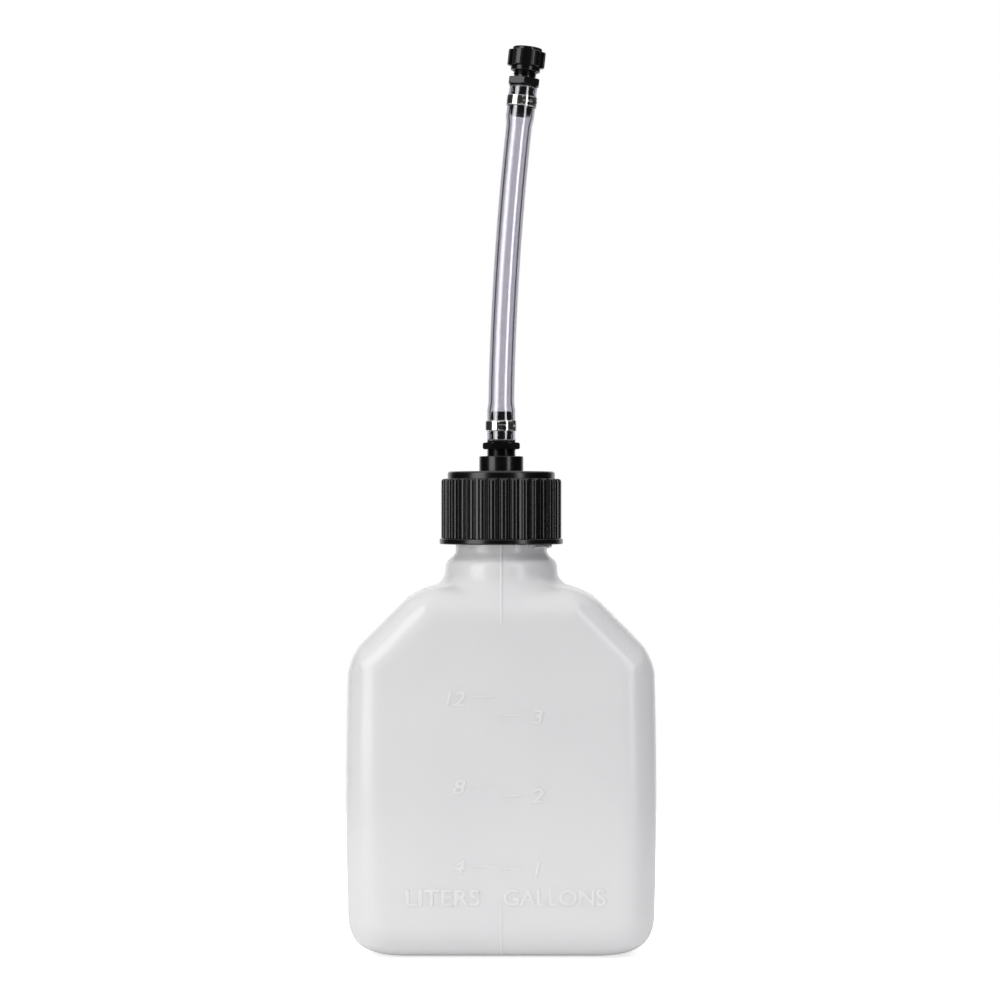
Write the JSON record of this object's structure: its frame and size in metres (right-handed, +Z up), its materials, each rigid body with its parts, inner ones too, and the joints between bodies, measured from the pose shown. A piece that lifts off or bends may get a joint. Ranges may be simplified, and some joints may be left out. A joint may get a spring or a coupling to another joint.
{
  "type": "utility jug",
  "caption": "Square translucent utility jug with a threaded neck, ribbed screw cap, clear filler hose and small closing cap.",
  "frame": {"origin": "middle of the base, on the surface that the jug stands on", "axes": "+Z up, -Y out of the marked front face, +X to the right seen from the front"},
  "size_m": [0.258, 0.24, 0.7623],
  "materials": {
    "natural_plastic": "translucent, satin, blow moulded",
    "black_plastic": "satin, moulded",
    "clear_hose": "clear, flexible, glossy",
    "steel_band": "polished",
    "seal_rubber": "matte"
  },
  "bodies": {
    "jug": {"jug_body": "natural_plastic"},
    "cap_seal": {"cap_gasket": "seal_rubber"},
    "cap": {"cap": "black_plastic", "lower_barb_fitting": "black_plastic", "lower_hose_clamp": "steel_band", "filler_hose": "clear_hose", "upper_hose_clamp": "steel_band", "upper_barb_fitting": "black_plastic"},
    "end_seal": {"end_cap_washer": "seal_rubber"},
    "end_cap": {"end_cap": "black_plastic"}
  },
  "joints": [
    {"name": "cap_lift", "type": "slide", "parent": "jug", "child": "cap_seal", "axis": [0, 0, 1], "range_m": [0, 0.0161]},
    {"name": "cap_turn", "type": "hinge", "parent": "cap_seal", "child": "cap", "pos_m": [0, -0.054, 0.36], "axis": [0, 0, 1], "range_deg": [0, 720]},
    {"name": "end_cap_lift", "type": "slide", "parent": "cap", "child": "end_seal", "axis": [0.1115, 0, 0.9938], "range_m": [0, 0.0076]},
    {"name": "end_cap_turn", "type": "hinge", "parent": "end_seal", "child": "end_cap", "pos_m": [0.01886, -0.054, 0.72932], "axis": [0.1115, 0, 0.9938], "range_deg": [0, 1080]}
  ],
  "couplings": [
    {"joint": "cap_lift", "follows": "cap_turn", "m_per_rad": 0.0012732},
    {"joint": "end_cap_lift", "follows": "end_cap_turn", "m_per_rad": 0.00039789}
  ]
}
